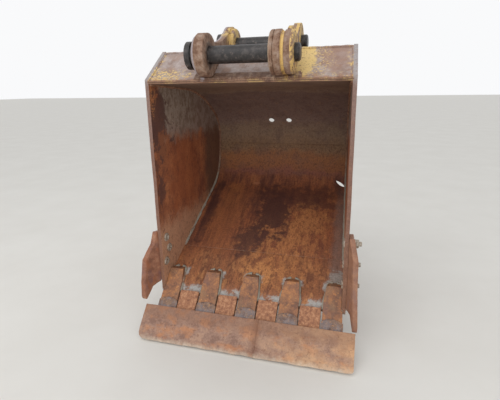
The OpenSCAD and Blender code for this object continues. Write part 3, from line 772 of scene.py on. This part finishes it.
def seams(node, carrier):
    """The sharp edges of one solid that lie on another, as lines of points: where it is welded on."""
    bm = solid(node)
    base = solid(carrier)
    tree = BVHTree.FromBMesh(base)
    links = {}
    for e in sharp_edges(bm, WELDED_ANGLE):
        a, b = (v.co for v in e.verts)
        count = max(1, round((b - a).length / SEAM_STEP))
        row = [a.lerp(b, i / count) for i in range(count + 1)]
        touch = [tree.find_nearest(p, SEAM_GAP)[0] is not None for p in row]
        for i in range(count):
            ends = [tuple(round(c, 5) for c in p) for p in row[i:i + 2]]
            if touch[i] and touch[i + 1] and ends[0] != ends[1]:
                links.setdefault(ends[0], []).append(ends[1])
                links.setdefault(ends[1], []).append(ends[0])
    bm.free()
    base.free()
    return chains(links)


def chains(links):
    """Walks linked points into lines, and starts a new line at each fork and corner."""
    def is_end(p):
        """Whether a line starts or ends here: at a loose end, a fork or a corner."""
        near = [Vector(q) - Vector(p) for q in links[p]]
        return len(near) != 2 or near[0].angle(-near[1]) > math.radians(SEAM_TURN)

    used = set()
    lines = []
    for start in [p for p in links if is_end(p)] + list(links):
        for following in links[start]:
            line = [start]
            at = following
            while (line[-1], at) not in used:
                used.update([(line[-1], at), (at, line[-1])])
                line.append(at)
                ahead = [p for p in links[at] if p != line[-2]]
                if is_end(at) or not ahead:
                    break
                at = ahead[0]
            if len(line) > 1:
                lines.append([Vector(p) for p in line])
    return lines


def length_of(line):
    """Length of a line of points."""
    return sum((b - a).length for a, b in zip(line, line[1:]))


def resampled(line, distance):
    """Points along a line at an even distance."""
    total = length_of(line)
    count = max(2, round(total / distance))
    points = []
    i = 0
    passed = 0.0
    for k in range(count + 1):
        want = total * k / count
        while i < len(line) - 2 and passed + (line[i + 1] - line[i]).length < want:
            passed += (line[i + 1] - line[i]).length
            i += 1
        part = (line[i + 1] - line[i]).length
        points.append(line[i].lerp(line[i + 1], min(1.0, (want - passed) / part)))
    return points


def add_bead(bm, line, radius, low, high):
    """A rippled bead of weld along a line."""
    points = resampled(line, RIPPLE / RIPPLE_RINGS)
    side = Vector(BEAD_SIDE)
    rings = []
    for i, point in enumerate(points):
        ahead = (points[min(i + 1, len(points) - 1)] - points[max(i - 1, 0)]).normalized()
        side = (side - ahead * side.dot(ahead)).normalized()
        other = ahead.cross(side)
        pulse = 1.0 + RIPPLE_HEIGHT * math.cos(2 * math.pi * (i % RIPPLE_RINGS) / RIPPLE_RINGS)
        swell = 1.0 + BEAD_SWELL * noise.noise(point / SWELL_SIZE)
        end = BEAD_END if i in (0, len(points) - 1) else 1.0
        ring = []
        for k in range(BEAD_SIDES):
            turn = 2 * math.pi * k / BEAD_SIDES
            out = (side * math.cos(turn) + other * math.sin(turn)) * (radius * pulse * swell * end)
            ring.append(bm.verts.new(keep_in(point + out, low, high)))
        rings.append(ring)
    for a, b in zip(rings, rings[1:]):
        for k in range(BEAD_SIDES):
            n = (k + 1) % BEAD_SIDES
            bm.faces.new((a[k], a[n], b[n], b[k]))
    bm.faces.new(rings[0][::-1])
    bm.faces.new(rings[-1])


def each_on(nodes, carriers):
    """Pairs of each solid with each one that carries it."""
    return [(node, carrier) for node in nodes for carrier in carriers]


# Welds: [name, finish, bead radius, shortest line, pairs of a solid and what carries it]
WELDS = [
    ["weld_shell", "weld_steel", 0.0095, 0.05, each_on(["floor_plate", "back_plate"], SIDES)],
    ["weld_back", "worn_floor", 0.003, 0.30, [("floor_plate", "back_plate")]],
    ["weld_lip", "worn_floor", 0.0022, 0.30, each_on(["lip_plate"], ["floor_plate"] + SIDES)],
    ["weld_box", "painted_remains", 0.006, 0.05, each_on(BOX, SIDES) + [tuple(BOX)]],
    ["weld_box_feet", "worn_back", 0.006, 0.30, each_on(BOX, ["back_plate"])],
    ["weld_ears", "ear_steel", 0.009, 0.04, each_on(EARS, BOX + ["back_plate", "front_bar"])],
    ["weld_bar", "ear_steel", 0.006, 0.04, [("front_bar", "box_front_plate")]],
    ["weld_adapters", "weld_steel", 0.009, 0.03, each_on(ADAPTERS, ["lip_plate"])],
    ["weld_connectors", "weld_steel", 0.006, 0.06, each_on(CONNECTORS, ["lip_plate"])],
    ["weld_blade", "weld_steel", 0.005, 0.06, each_on(CONNECTORS, BLADES)],
    ["weld_joint", "blade_steel", 0.004, 0.06, [tuple(BLADES)]],
    ["weld_strips", "weld_steel", 0.006, 0.04, each_on(STRIPS, ["floor_plate"])],
    ["weld_corners", "weld_steel", 0.006, 0.04, list(zip(CORNERS, SIDES))],
]


def make_welds():
    """Beads along every seam, as one piece for each kind."""
    for name, finish, radius, shortest, pairs in WELDS:
        bm = bmesh.new()
        for node, carrier in pairs:
            for line in seams(node, carrier):
                if length_of(line) > shortest:
                    add_bead(bm, line, radius, *cad_box)
        place_piece(name, bm, finish, BEAD_ANGLE)


def add_stack(bm, at, out, rings, turn):
    """A turned or six-sided part at a place, facing a way, built up of rings: [sides, radius, height]."""
    seat = out.to_track_quat("Z", "Y").to_matrix().to_4x4()
    place = Matrix.Translation(at) @ seat @ Matrix.Rotation(turn, 4, "Z")
    loops = []
    for sides, radius, height in rings:
        turns = [2 * math.pi * k / sides for k in range(sides)]
        points = [Vector((radius * math.cos(a), radius * math.sin(a), height)) for a in turns]
        loops.append([bm.verts.new(place @ p) for p in points])
    for a, b in zip(loops, loops[1:]):
        if len(a) == len(b):
            for k in range(len(a)):
                n = (k + 1) % len(a)
                bm.faces.new((a[k], a[n], b[n], b[k]))
        else:
            bm.faces.new(a)
    bm.faces.new(loops[-1])


def on_face(node, y, z, side, from_outside):
    """Where a line along X from outside or inside the bucket meets a solid, and its normal there."""
    bm = solid(node)
    tree = BVHTree.FromBMesh(bm)
    bm.free()
    start = Vector((side if from_outside else 0.0, y, z))
    way = Vector((-side if from_outside else side, 0, 0))
    place, normal, _, _ = tree.ray_cast(start, way)
    return place, normal


# Nut with its washer and the bolt's end on the outside, round head on the inside: [sides, radius, height]
NUT = [
    [32, 0.026, 0.000], [32, 0.026, 0.003], [32, 0.024, 0.004],
    [6, 0.022, 0.004], [6, 0.022, 0.021], [6, 0.019, 0.024],
    [24, 0.012, 0.024], [24, 0.012, 0.036], [24, 0.010, 0.038],
]
HEAD = [
    [24, 0.025, 0.000], [24, 0.025, 0.004], [24, 0.021, 0.008],
    [24, 0.014, 0.008], [24, 0.011, 0.004], [24, 0.003, 0.003],
]
# Bolts through the side cutters, left and right: places [Y, Z]
BOLTS = [
    [[0.115, -0.985], [0.140, -1.060], [0.098, -1.130]],
    [[0.094, -0.915], [0.094, -1.030], [0.094, -1.150]],
]

# Stop on the right ear: [sides, radius, height], and where it stands
STOP = [[24, 0.014, 0.000], [24, 0.014, 0.030], [24, 0.011, 0.034]]
STOP_AT = (0.200, 0.100, -0.062)


def make_stop():
    """The small stop on the outer face of the right ear, below the arm pin."""
    bm = bmesh.new()
    add_stack(bm, Vector(STOP_AT), Vector((1, 0, 0)), STOP, 0.0)
    place_piece("ear_stop", bm, "ear_steel", BOLT_ANGLE)


def make_bolts():
    """Bolts through the side cutters, with the nut outside and the head inside."""
    bm = bmesh.new()
    turns = random.Random(SEED)
    for side, cutter, plate, places in zip((-1.0, 1.0), CUTTERS, SIDES, BOLTS):
        for y, z in places:
            for node, from_outside, rings in [(cutter, True, NUT), (plate, False, HEAD)]:
                place, normal = on_face(node, y, z, side, from_outside)
                add_stack(bm, place, normal, rings, turns.uniform(0, 1))
    place_piece("cutter_bolts", bm, "bolt_steel", BOLT_ANGLE)


def make_camera():
    """A camera where the photo was taken from."""
    yaw = math.radians(CAMERA_YAW)
    pitch = math.radians(CAMERA_PITCH)
    roll = math.radians(CAMERA_ROLL)
    ahead = Vector((math.sin(yaw) * math.cos(pitch), math.cos(yaw) * math.cos(pitch), -math.sin(pitch)))
    right = Vector((math.cos(yaw), -math.sin(yaw), 0))
    up = right.cross(ahead)
    right_rolled = math.cos(roll) * right + math.sin(roll) * up
    up_rolled = math.cos(roll) * up - math.sin(roll) * right
    turn = Matrix((right_rolled, up_rolled, -ahead)).transposed()
    camera = bpy.data.cameras.new("camera")
    camera.lens = CAMERA_LENS
    camera.sensor_width = CAMERA_SENSOR
    seat = bpy.data.objects.new("camera", camera)
    seat.matrix_world = Matrix.Translation(CAMERA_AT) @ turn.to_4x4()
    bpy.context.scene.collection.objects.link(seat)
    bpy.context.scene.camera = seat


def make_floor():
    """A plain pale floor under the blade."""
    f = Finish("floor")
    f.finish(f.mix(f.noise(FLOOR_SPOTS), *FLOOR_TONES), rough=FLOOR_ROUGH)
    level = cad_box[0][2]
    mesh = bpy.data.meshes.new("floor")
    corners = [(-1, -1), (1, -1), (1, 1), (-1, 1)]
    mesh.from_pydata([(x * FLOOR_REACH, y * FLOOR_REACH, level) for x, y in corners], [], [(0, 1, 2, 3)])
    floor = bpy.data.objects.new("floor", mesh)
    floor.data.materials.append(f.material)
    bpy.context.scene.collection.objects.link(floor)


def add_lamp(name, power, size, at, aim):
    """A soft lamp at a place, which faces another one."""
    lamp = bpy.data.lights.new(name, "AREA")
    lamp.energy = power
    lamp.shape = "RECTANGLE"
    lamp.size, lamp.size_y = size
    seat = bpy.data.objects.new(name, lamp)
    way = Vector(aim) - Vector(at)
    seat.matrix_world = Matrix.Translation(at) @ way.to_track_quat("-Z", "Y").to_matrix().to_4x4()
    bpy.context.scene.collection.objects.link(seat)


def make_light():
    """Even light from the world, which looks paler to the camera and in reflections, and lamps."""
    world = bpy.data.worlds.new("world")
    bpy.context.scene.world = world
    world.use_nodes = True
    tree = world.node_tree
    light = tree.nodes["Background"]
    light.inputs["Color"].default_value = WORLD_COLOUR
    light.inputs["Strength"].default_value = WORLD_STRENGTH
    sky = tree.nodes.new("ShaderNodeBackground")
    sky.inputs["Color"].default_value = SKY_COLOUR
    sky.inputs["Strength"].default_value = 1.0
    path = tree.nodes.new("ShaderNodeLightPath")
    shown = tree.nodes.new("ShaderNodeMath")
    shown.operation = "MAXIMUM"
    tree.links.new(path.outputs["Is Camera Ray"], shown.inputs[0])
    tree.links.new(path.outputs["Is Glossy Ray"], shown.inputs[1])
    pick = tree.nodes.new("ShaderNodeMixShader")
    tree.links.new(shown.outputs[0], pick.inputs["Fac"])
    tree.links.new(light.outputs[0], pick.inputs[1])
    tree.links.new(sky.outputs[0], pick.inputs[2])
    tree.links.new(pick.outputs[0], tree.nodes["World Output"].inputs["Surface"])
    for lamp in LAMPS:
        add_lamp(*lamp)


dress_solids()
make_welds()
make_stop()
make_bolts()
make_camera()
make_floor()
make_light()
bpy.context.scene.view_settings.view_transform = "Standard"
